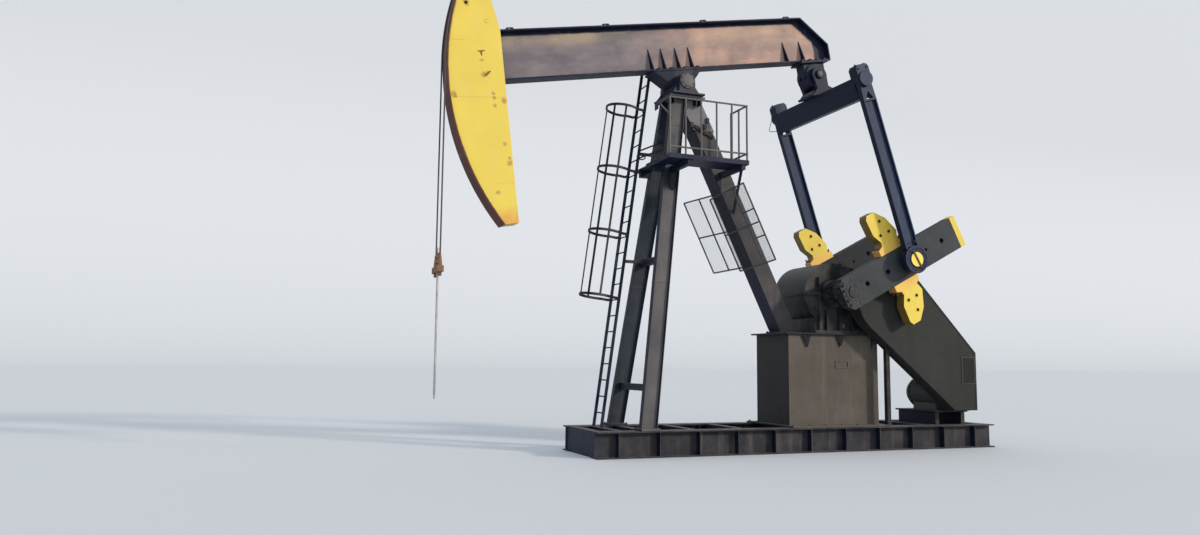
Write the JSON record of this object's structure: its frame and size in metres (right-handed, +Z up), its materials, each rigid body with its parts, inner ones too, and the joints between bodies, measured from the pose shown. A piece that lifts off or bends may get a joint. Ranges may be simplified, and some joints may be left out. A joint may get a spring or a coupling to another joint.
{
  "type": "pumpjack",
  "caption": "Crank-balanced beam pumping unit with yellow horsehead and counterweights, walking beam, pitmans, gearbox, belt guard, ladder and platform.",
  "frame": {"origin": "on the ground under the saddle axis, in the centre plane", "axes": "+X from the horsehead towards the cranks, +Y to the ladder's side, +Z up"},
  "size_m": [11.3793, 3.15, 8.811],
  "materials": {
    "frame_paint": "dark charcoal paint, dusty, with rust at the edges",
    "pedestal_paint": "weathered dark paint gone grey-brown",
    "platform_steel": "dark paint worn to grey on tubes and treads",
    "gearbox_paint": "black paint with oil stains",
    "guard_paint": "flat dark grey paint, scuffed",
    "motor_paint": "grey-green paint",
    "beam_paint": "charcoal paint with dust and rust streaks",
    "head_yellow": "warm yellow paint, rusty at its edges",
    "rim_rust": "rust-brown worn steel",
    "weight_yellow": "warm yellow paint, chipped",
    "crank_iron": "dark painted casting, worn",
    "shaft_steel": "turned steel, dull",
    "cable_steel": "greased wire rope",
    "carrier_rust": "rusty steel"
  },
  "bodies": {
    "base": {"rail_near": "frame_paint", "rail_far": "frame_paint", "cross_members": "frame_paint", "front_leg_near": "frame_paint", "front_leg_far": "frame_paint", "rear_leg": "frame_paint", "leg_braces": "frame_paint", "post_head": "frame_paint", "saddle_block": "pedestal_paint", "platform_floor": "platform_steel", "platform_rail": "platform_steel", "ladder_rails": "platform_steel", "ladder_rungs": "platform_steel", "ladder_cage": "platform_steel", "leg_screen_near": "platform_steel", "leg_screen_far": "platform_steel", "pedestal": "pedestal_paint", "gearbox": "gearbox_paint", "belt_guard": "guard_paint", "guard_posts": "gearbox_paint", "motor": "motor_paint", "motor_stand": "frame_paint"},
    "beam": {"walking_beam": "beam_paint", "beam_stiffeners": "beam_paint", "saddle_housing": "beam_paint", "equalizer_bearing": "beam_paint", "horsehead_sides": "head_yellow", "horsehead_rim": "rim_rust", "horsehead_back": "head_yellow", "wireline_wrap": "cable_steel"},
    "equalizer": {"equalizer_yoke": "beam_paint", "equalizer_shaft": "shaft_steel", "pitman_near": "beam_paint", "pitman_far": "beam_paint", "wrist_bearings": "beam_paint"},
    "cranks": {"crankshaft": "shaft_steel", "crank_near": "crank_iron", "crank_far": "crank_iron", "weight_near_upper": "weight_yellow", "weight_near_lower": "weight_yellow", "weight_far_upper": "weight_yellow", "weight_far_lower": "weight_yellow"},
    "hanger": {"wireline_drop": "cable_steel", "carrier_bar": "carrier_rust", "polished_rod": "shaft_steel"}
  },
  "joints": [
    {"name": "beam_rock", "type": "hinge", "parent": "base", "child": "beam", "pos_m": [0, 0, 6.99], "axis": [0, 1, 0], "range_deg": [0, 35.02]},
    {"name": "crank_turn", "type": "hinge", "parent": "base", "child": "cranks", "pos_m": [3.1, 0, 3.02], "axis": [0, 1, 0], "range_deg": [0, 110.05]},
    {"name": "pitman_swing", "type": "hinge", "parent": "beam", "child": "equalizer", "pos_m": [3.1054, 0, 7.5749], "axis": [0, -1, 0], "range_deg": [0, 22.79]},
    {"name": "hanger_slide", "type": "slide", "parent": "base", "child": "hanger", "axis": [0, 0, 1], "range_m": [0, 2.7971], "deforming": ["wireline_drop"]}
  ],
  "couplings": [
    {"joint": "crank_turn", "follows": "beam_rock", "ratio": 3.1408},
    {"joint": "pitman_swing", "follows": "beam_rock", "ratio": 0.6494},
    {"joint": "hanger_slide", "follows": "beam_rock", "m_per_rad": 4.5743}
  ]
}
